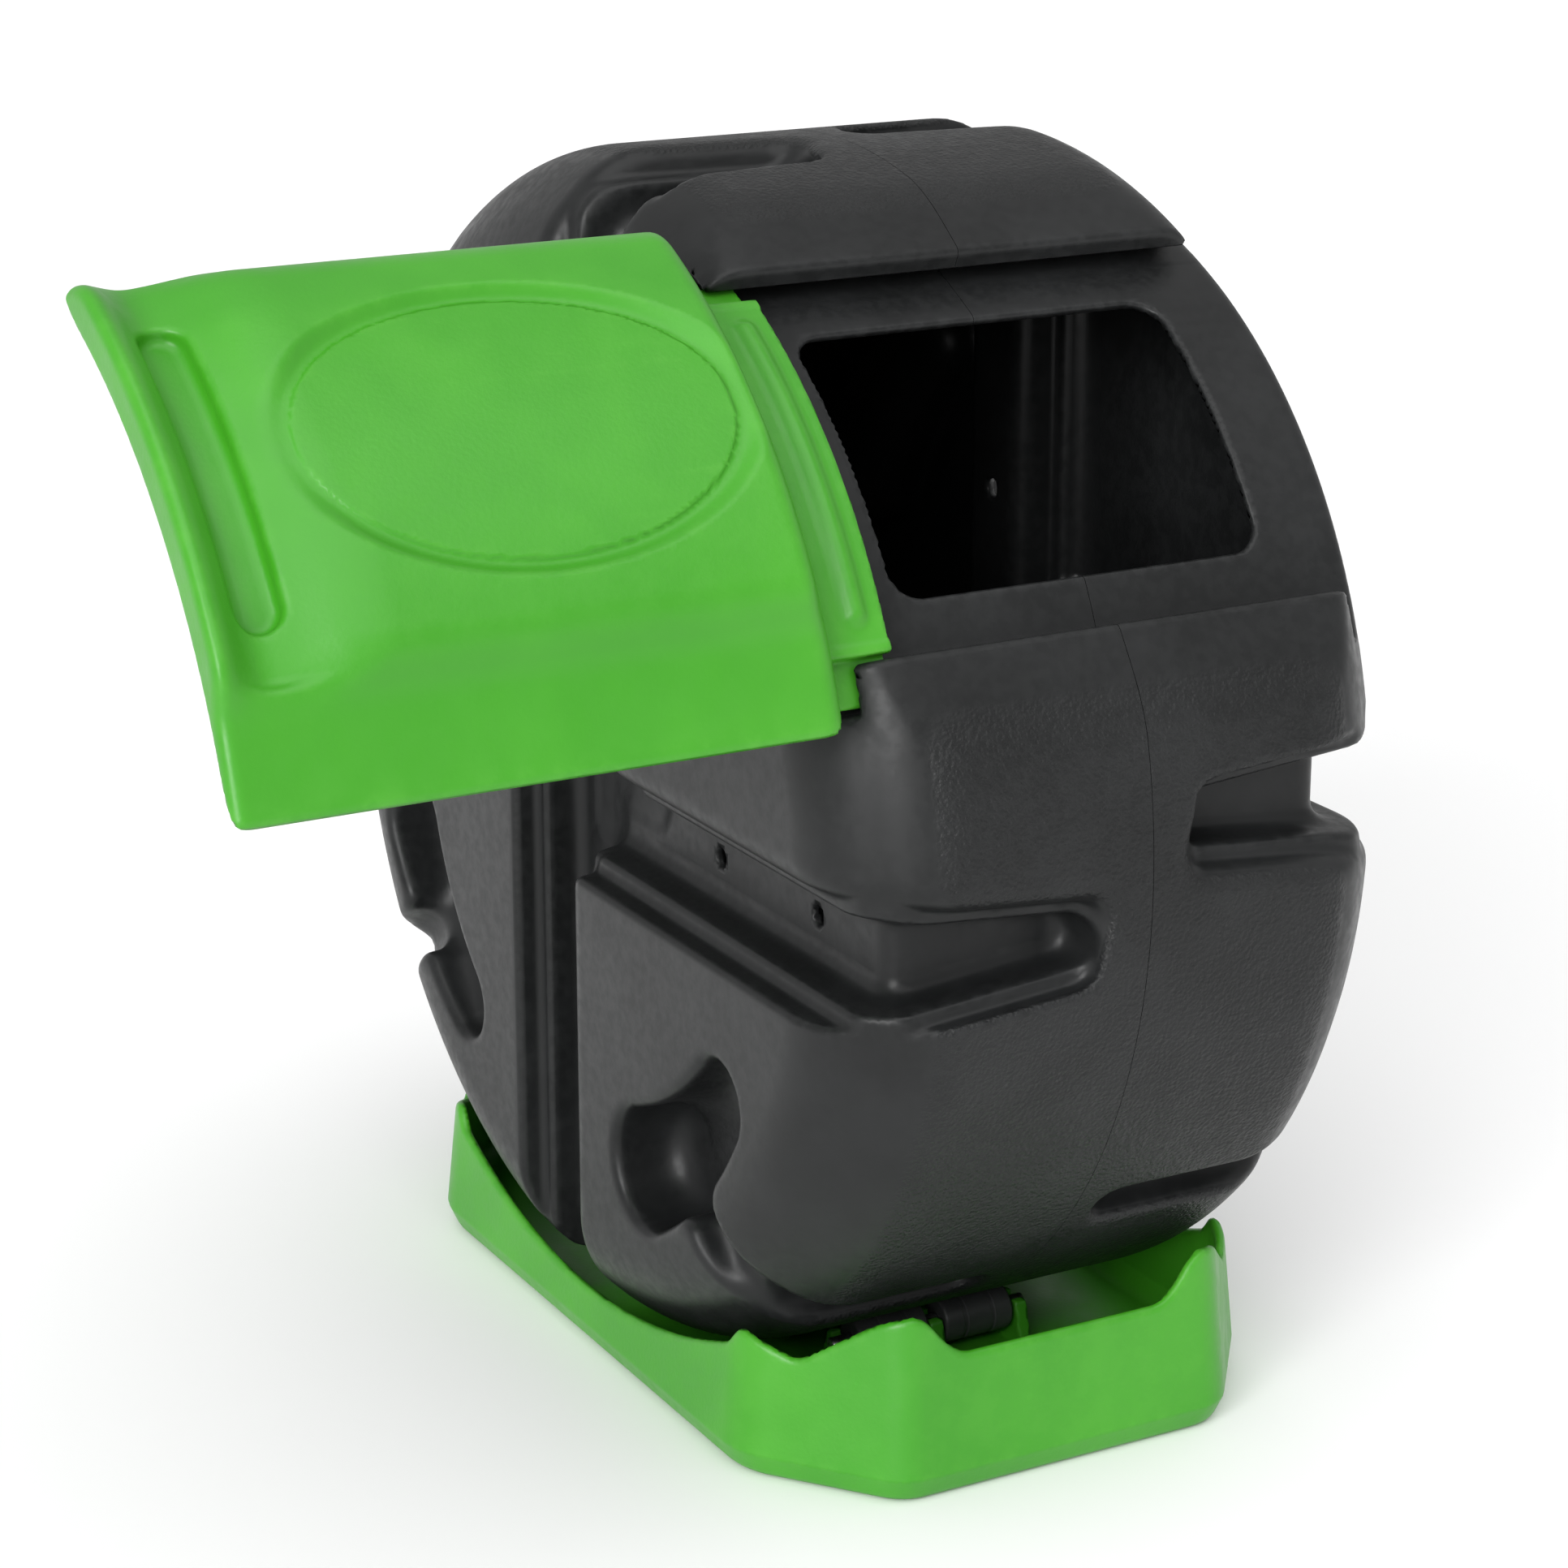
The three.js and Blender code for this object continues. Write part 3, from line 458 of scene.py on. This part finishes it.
def moulded(name, field, low, high, step, keep, to_row, material, cut=None):
    """A piece meshed from its distance function, thinned out and put exactly on the surface.

    step is the grid's cell, keep the share of faces kept, to_row the field's place in the frame, and cut
    the x at which the mesh is cut off flat. The normals are the distance function's own.
    """
    points, faces = surface_net(field, low, high, step)
    points = onto_surface(field, points, 2, step * 0.6)
    thick = bpy.data.objects.new(name + "_work", mesh_from(name + "_work", points, faces))
    bpy.context.scene.collection.objects.link(thick)
    thin = thick.modifiers.new("thin", "DECIMATE")
    thin.ratio = keep
    thick.data.update()
    graph = bpy.context.evaluated_depsgraph_get()
    mesh = bpy.data.meshes.new_from_object(thick.evaluated_get(graph))
    bpy.data.objects.remove(thick)
    co = np.empty(len(mesh.vertices) * 3)
    mesh.vertices.foreach_get("co", co)
    co = onto_surface(field, co.reshape(-1, 3), 2, step * 0.5)
    if cut is not None:
        mesh.vertices.foreach_set("co", co.astype(np.float32).ravel())
        cut_off(mesh, field, cut)
        co = np.empty(len(mesh.vertices) * 3)
        mesh.vertices.foreach_get("co", co)
        co = co.reshape(-1, 3)
    g = gradient(field, co, 0.5)
    g /= np.maximum(np.linalg.norm(g, axis=1), 1e-6)[:, None]
    rows = np.array(to_row, float)
    co = (co @ rows[:, :3].T + rows[:, 3]) * MM
    g = g @ rows[:, :3].T
    if np.linalg.det(rows[:, :3]) < 0:
        mesh.flip_normals()
    mesh.vertices.foreach_set("co", co.astype(np.float32).ravel())
    mesh.polygons.foreach_set("use_smooth", np.ones(len(mesh.polygons), bool))
    mesh.update()
    mesh.normals_split_custom_set_from_vertices(g.tolist())
    mesh.name = name
    piece = bpy.data.objects.new(name, mesh)
    bpy.context.scene.collection.objects.link(piece)
    mesh.materials.clear()
    mesh.materials.append(material)
    return piece


# ---------------------------------------------------------------- materials
def new_material(name):
    material = bpy.data.materials.new(name)
    material.use_nodes = True
    tree = material.node_tree
    shader = tree.nodes["Principled BSDF"]
    return material, tree, shader


def node(tree, kind, inputs=(), **settings):
    made = tree.nodes.new(kind)
    for key, value in settings.items():
        setattr(made, key, value)
    for key, value in dict(inputs).items():
        if isinstance(value, bpy.types.NodeSocket):
            tree.links.new(value, made.inputs[key])
        else:
            made.inputs[key].default_value = value
    return made


def maths(tree, operation, a, b=0.0, clamp=False):
    made = node(tree, "ShaderNodeMath", {0: a, 1: b}, operation=operation)
    made.use_clamp = clamp
    return made.outputs[0]


def mapped(tree, value, low, high, to_low=0.0, to_high=1.0):
    made = node(tree, "ShaderNodeMapRange",
                {"Value": value, "From Min": low, "From Max": high, "To Min": to_low, "To Max": to_high},
                interpolation_type="SMOOTHSTEP")
    return made.outputs["Result"]


def blended(tree, share, a, b):
    made = node(tree, "ShaderNodeMix", data_type="RGBA")
    for socket, value in ((made.inputs[0], share), (made.inputs[6], a), (made.inputs[7], b)):
        if isinstance(value, bpy.types.NodeSocket):
            tree.links.new(value, socket)
        else:
            socket.default_value = value
    return made.outputs[2]


def noise(tree, where, scale, detail=3.0, roughness=0.5):
    made = node(tree, "ShaderNodeTexNoise", {"Vector": where, "Scale": scale, "Detail": detail,
                                             "Roughness": roughness})
    return made.outputs["Fac"]


def black_plastic():
    material, tree, shader = new_material("black_hdpe")
    where = node(tree, "ShaderNodeTexCoord").outputs["Object"]
    parts = node(tree, "ShaderNodeSeparateXYZ", {0: where})
    x, y, z = parts.outputs
    across = maths(tree, "ABSOLUTE", x)
    up = maths(tree, "SUBTRACT", z, AXIS_HEIGHT * MM)
    square = maths(tree, "ADD", maths(tree, "MULTIPLY", y, y), maths(tree, "MULTIPLY", up, up))
    radius = maths(tree, "SQRT", square)
    # leather grain on the tread only: near the full radius and between the shoulders
    tread = maths(tree, "MULTIPLY", mapped(tree, radius, 0.2955, 0.2985),
                  mapped(tree, across, 0.120, 0.110))
    cells = node(tree, "ShaderNodeTexVoronoi", {"Vector": where, "Scale": 480.0, "Randomness": 1.0},
                 feature="SMOOTH_F1").outputs["Distance"]
    fine = noise(tree, where, 900.0, 2.0)
    grain = maths(tree, "ADD", maths(tree, "MULTIPLY", cells, 0.8), maths(tree, "MULTIPLY", fine, 0.5))
    swirl = noise(tree, where, 14.0, 4.0, 0.55)
    haze = noise(tree, where, 160.0, 3.0, 0.6)
    height = maths(tree, "ADD", maths(tree, "MULTIPLY", maths(tree, "MULTIPLY", grain, tread), 1.0),
                   maths(tree, "MULTIPLY", haze, 0.05))
    bump = node(tree, "ShaderNodeBump", {"Height": height, "Strength": 0.9, "Distance": 0.0011})
    tree.links.new(bump.outputs["Normal"], shader.inputs["Normal"])
    dark = blended(tree, mapped(tree, swirl, 0.35, 0.68),
                   (0.0085, 0.009, 0.0092, 1), (0.0135, 0.0142, 0.0146, 1))
    # painted highlight: convex edges are lightened in patches (by the haze noise) to stand in for the light
    # caught on their rounding
    edge_highlight = node(tree, "ShaderNodeAttribute", attribute_name="edge").outputs["Fac"]
    edge_highlight = maths(tree, "MULTIPLY", edge_highlight, mapped(tree, haze, 0.40, 0.62), clamp=True)
    colour = blended(tree, maths(tree, "MULTIPLY", edge_highlight, 0.5), dark, (0.050, 0.052, 0.053, 1))
    tree.links.new(colour, shader.inputs["Base Color"])
    rough = maths(tree, "ADD", mapped(tree, haze, 0.3, 0.7, 0.33, 0.45), maths(tree, "MULTIPLY", tread, 0.07))
    tree.links.new(rough, shader.inputs["Roughness"])
    shader.inputs["Specular IOR Level"].default_value = 0.26
    return material


def green_plastic():
    material, tree, shader = new_material("green_hdpe")
    where = node(tree, "ShaderNodeTexCoord").outputs["Object"]
    cloud = noise(tree, where, 9.0, 3.0, 0.5)
    peel = noise(tree, where, 420.0, 2.0, 0.5)
    rough_and_highlight_noise = noise(tree, where, 70.0, 5.0, 0.65)
    base = blended(tree, mapped(tree, cloud, 0.35, 0.65),
                   (0.040, 0.270, 0.010, 1), (0.052, 0.310, 0.014, 1))
    # painted highlight: convex edges are lightened towards a pale green in patches, to stand in for the light
    # caught on their rounding
    edge_highlight = node(tree, "ShaderNodeAttribute", attribute_name="edge").outputs["Fac"]
    edge_highlight = maths(tree, "MULTIPLY", edge_highlight, mapped(tree, rough_and_highlight_noise, 0.42, 0.62), clamp=True)
    colour = blended(tree, maths(tree, "MULTIPLY", edge_highlight, 0.35), base, (0.16, 0.50, 0.07, 1))
    tree.links.new(colour, shader.inputs["Base Color"])
    tree.links.new(mapped(tree, rough_and_highlight_noise, 0.3, 0.7, 0.34, 0.44), shader.inputs["Roughness"])
    bump = node(tree, "ShaderNodeBump", {"Height": peel, "Strength": 0.22, "Distance": 0.0004})
    tree.links.new(bump.outputs["Normal"], shader.inputs["Normal"])
    shader.inputs["Subsurface Weight"].default_value = 0.06
    shader.inputs["Subsurface Radius"].default_value = (0.004, 0.010, 0.002)
    shader.inputs["Specular IOR Level"].default_value = 0.45
    return material


def roller_plastic():
    material, tree, shader = new_material("roller_nylon")
    where = node(tree, "ShaderNodeTexCoord").outputs["Object"]
    cloud = noise(tree, where, 60.0, 4.0, 0.6)
    tree.links.new(blended(tree, cloud, (0.028, 0.029, 0.030, 1), (0.060, 0.062, 0.064, 1)),
                   shader.inputs["Base Color"])
    tree.links.new(mapped(tree, cloud, 0.3, 0.7, 0.42, 0.6), shader.inputs["Roughness"])
    grain = noise(tree, where, 700.0)
    bump = node(tree, "ShaderNodeBump", {"Height": grain, "Strength": 0.3, "Distance": 0.0003})
    tree.links.new(bump.outputs["Normal"], shader.inputs["Normal"])
    return material


def axle_steel():
    material, tree, shader = new_material("axle_steel")
    where = node(tree, "ShaderNodeTexCoord").outputs["Object"]
    long_way = node(tree, "ShaderNodeMapping", {"Vector": where, "Scale": (12.0, 900.0, 900.0)}).outputs[0]
    drawn = noise(tree, long_way, 1.0, 3.0)
    spots = noise(tree, where, 90.0, 5.0, 0.7)
    colour = blended(tree, mapped(tree, spots, 0.5, 0.75), (0.55, 0.56, 0.57, 1), (0.30, 0.27, 0.24, 1))
    tree.links.new(colour, shader.inputs["Base Color"])
    tree.links.new(mapped(tree, drawn, 0.3, 0.7, 0.26, 0.42), shader.inputs["Roughness"])
    bump = node(tree, "ShaderNodeBump", {"Height": drawn, "Strength": 0.25, "Distance": 0.0002})
    tree.links.new(bump.outputs["Normal"], shader.inputs["Normal"])
    shader.inputs["Metallic"].default_value = 1.0
    return material


BLACK, GREEN = black_plastic(), green_plastic()
ROLLER, STEEL = roller_plastic(), axle_steel()


# ---------------------------------------------------------------- pieces
def mark_edges(piece, field, to_field, reach=3.0, strength=0.35):
    """How convex the surface is at each vertex, for the painted highlight along edges."""
    mesh = piece.data
    co = np.empty(len(mesh.vertices) * 3)
    mesh.vertices.foreach_get("co", co)
    rows = np.array(to_field, float)
    p = (co.reshape(-1, 3) / MM) @ rows[:, :3].T + rows[:, 3]
    bend = np.zeros(len(p))
    for axis in range(3):
        for sign in (-reach, reach):
            q = p.copy()
            q[:, axis] += sign
            bend += field(*q.T)
    bend = bend - 6 * field(*p.T)
    edge = np.clip(bend / reach * strength, 0.0, 1.0)
    attribute = mesh.attributes.new("edge", "FLOAT", "POINT")
    attribute.data.foreach_set("value", edge.astype(np.float32))


def inverse(rows):
    square = np.vstack([np.array(rows, float), [0, 0, 0, 1]])
    return np.linalg.inv(square)[:3]


MARGIN = 6.0                     # of each grid round its piece
KEEP = 0.5                       # share of the faces that are kept
DRUM_STEP, BASE_STEP = 3.0, 2.5
DOOR_STEP = 2.0

# the two halves share one field, mirrored; the grid starts a little before the seam, where it is cut off
for side, name in ((-1, "drum_left_half"), (1, "drum_right_half")):
    half_field = drum_half(side)
    half_rows = [[side, 0, 0, 0], [0, 1, 0, 0], [0, 0, 1, AXIS_HEIGHT]]
    around = RADIUS + MARGIN
    half = moulded(name, half_field, (SEAM_GAP - 2.5 * DRUM_STEP, -around, -around),
                   (HALF_WIDTH + MARGIN, around, around), DRUM_STEP, KEEP, half_rows, BLACK, cut=SEAM_GAP)
    mark_edges(half, half_field, inverse(half_rows))
    half.name = "moulded_" + name
    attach(half, "drum")
    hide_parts(name)

# the door's field stands upright and is turned down to the opening
DOOR_REACH = 156.0               # the door lies within this, across it
DOOR_BOTTOM, DOOR_TOP = 236.0, 320.0
door_middle = math.radians(DOOR_ANGLE + DOOR_SAG)
c, s = math.cos(door_middle), math.sin(door_middle)
door_rows = [[1, 0, 0, 0], [0, c, -s, 0], [0, s, c, AXIS_HEIGHT]]
door = moulded("moulded_sliding_door", door_field, (DOOR_LEFT - 5.0, -DOOR_REACH, DOOR_BOTTOM),
               (DOOR_RIGHT + 5.0, DOOR_REACH, DOOR_TOP), DOOR_STEP, KEEP, door_rows, GREEN)
mark_edges(door, door_field, inverse(door_rows))
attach(door, "door")
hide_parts("sliding_door")

base_rows = [[1, 0, 0, 0], [0, 1, 0, 0], [0, 0, 1, 0]]
base_x, base_y = BASE_HALF_WIDTH + MARGIN, BASE_HALF_LENGTH + MARGIN
tray = moulded("moulded_base_tray", base_field, (-base_x, -base_y, -4.0),
               (base_x, base_y, BASE_TOP + MARGIN), BASE_STEP, KEEP, base_rows, GREEN)
mark_edges(tray, base_field, inverse(base_rows))
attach(tray, "base")
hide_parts("base_tray")


def turned_piece(name, profile, body, material, segments=64):
    """A piece turned about the middle line of its CAD node, from [distance along, radius] points in mm."""
    low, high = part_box(name)
    middle = (low + high) / 2
    points = []
    for along, radius in profile:
        for i in range(segments):
            turn = 2 * math.pi * i / segments
            points.append((middle.x + along * MM, middle.y + radius * MM * math.cos(turn),
                           middle.z + radius * MM * math.sin(turn)))
    count = len(profile)
    faces = [(k * segments + i, k * segments + (i + 1) % segments,
              (k + 1) % count * segments + (i + 1) % segments, (k + 1) % count * segments + i)
             for k in range(count) for i in range(segments)]
    mesh = bpy.data.meshes.new("turned_" + name)
    mesh.from_pydata(points, [], faces)
    mesh.polygons.foreach_set("use_smooth", np.ones(len(faces), bool))
    mesh.set_sharp_from_angle(angle=math.radians(50))
    mesh.materials.append(material)
    piece = bpy.data.objects.new("turned_" + name, mesh)
    bpy.context.scene.collection.objects.link(piece)
    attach(piece, body)
    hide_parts(name)
    return piece


def rounded(corner, radius, start, steps=6):
    """A quarter turn round a corner's inner point, from an angle in degrees."""
    return [(corner[0] + radius * math.cos(math.radians(start + 90.0 * i / steps)),
             corner[1] + radius * math.sin(math.radians(start + 90.0 * i / steps))) for i in range(steps + 1)]


ROLLER_RADIUS, ROLLER_HALF, ROLLER_BORE, ROLLER_EDGE = 12.0, 20.0, 4.4, 2.0
RING_PLACE, RING_HALF, RING_FLOOR_HALF, RING_DEPTH = 8.0, 1.5, 1.0, 0.7
AXLE_RADIUS, AXLE_HALF, AXLE_EDGE = 4.0, 57.0, 1.2
AXLE_CENTRE = 0.01               # the end faces close down to almost a point
roller_profile = [(-ROLLER_HALF, ROLLER_BORE), (ROLLER_HALF, ROLLER_BORE)]
roller_profile += rounded((ROLLER_HALF - ROLLER_EDGE, ROLLER_RADIUS - ROLLER_EDGE), ROLLER_EDGE, 0.0)
for ring in (RING_PLACE, -RING_PLACE):    # two shallow rings round each roller
    floor_radius = ROLLER_RADIUS - RING_DEPTH
    roller_profile += [(ring + RING_HALF, ROLLER_RADIUS), (ring + RING_FLOOR_HALF, floor_radius),
                       (ring - RING_FLOOR_HALF, floor_radius), (ring - RING_HALF, ROLLER_RADIUS)]
roller_profile += rounded((-ROLLER_HALF + ROLLER_EDGE, ROLLER_RADIUS - ROLLER_EDGE), ROLLER_EDGE, 90.0)
axle_profile = [(-AXLE_HALF, AXLE_CENTRE), (AXLE_HALF, AXLE_CENTRE)]
axle_profile += rounded((AXLE_HALF - AXLE_EDGE, AXLE_RADIUS - AXLE_EDGE), AXLE_EDGE, 0.0)
axle_profile += rounded((-AXLE_HALF + AXLE_EDGE, AXLE_RADIUS - AXLE_EDGE), AXLE_EDGE, 90.0)
for end in ("front", "rear"):
    turned_piece("axle_" + end, axle_profile, "base", STEEL)
    for side_name in ("left", "right"):
        roller_name = f"roller_{end}_{side_name}"
        turned_piece(roller_name, roller_profile, roller_name, ROLLER)


# ---------------------------------------------------------------- stage, lights and camera
def floor_material():
    material, tree, shader = new_material("pale_floor")
    shader.inputs["Base Color"].default_value = (0.93, 0.93, 0.93, 1)
    shader.inputs["Roughness"].default_value = 0.75
    shader.inputs["Specular IOR Level"].default_value = 0.2
    return material


FLOOR_HALF = 40.0                # in metres
floor_mesh = bpy.data.meshes.new("floor")
floor_corners = [(x * FLOOR_HALF, y * FLOOR_HALF, 0) for x, y in ((-1, -1), (1, -1), (1, 1), (-1, 1))]
floor_mesh.from_pydata(floor_corners, [], [(0, 1, 2, 3)])
floor = bpy.data.objects.new("floor", floor_mesh)
bpy.context.scene.collection.objects.link(floor)
floor_mesh.materials.append(floor_material())


def aimed(obj, place, target):
    obj.location = place
    obj.rotation_euler = (Vector(target) - Vector(place)).to_track_quat("-Z", "Y").to_euler()
    bpy.context.scene.collection.objects.link(obj)
    return obj


def softbox(name, place, target, width, height, power):
    light = bpy.data.lights.new(name, "AREA")
    light.shape = "RECTANGLE"
    light.size, light.size_y = width, height
    light.energy = power
    return aimed(bpy.data.objects.new(name, light), place, target)


def sunlight(name, azimuth, elevation, strength, softness):
    """Even light from one side; azimuth 0 looks along +Y, in degrees."""
    light = bpy.data.lights.new(name, "SUN")
    light.energy = strength
    light.angle = math.radians(softness)
    a, e = math.radians(azimuth), math.radians(elevation)
    place = (math.sin(a) * math.cos(e), -math.cos(a) * math.cos(e), math.sin(e))
    return aimed(bpy.data.objects.new(name, light), place, (0, 0, 0))


MIDDLE = (0.0, 0.0, 0.30)
sunlight("key", -52.0, 20.0, 2.0, 35.0)
sunlight("top", -10.0, 68.0, 1.3, 60.0)
softbox("strip_left", (-2.3, -1.6, 1.5), MIDDLE, 0.6, 1.8, 12.0)

world = bpy.data.worlds.new("studio")
bpy.context.scene.world = world
world.use_nodes = True
world.node_tree.nodes["Background"].inputs["Color"].default_value = (1, 1, 1, 1)
world.node_tree.nodes["Background"].inputs["Strength"].default_value = 0.62
bpy.context.scene.view_settings.view_transform = "Standard"

camera_data = bpy.data.cameras.new("camera")
camera_data.sensor_width = 36.0
camera_data.lens = 91.4
CAMERA_PLACE, CAMERA_TARGET = (-0.961, -1.704, 0.900), (-0.0205, 0.0078, 0.2832)
camera = aimed(bpy.data.objects.new("camera", camera_data), CAMERA_PLACE, CAMERA_TARGET)
bpy.context.scene.camera = camera
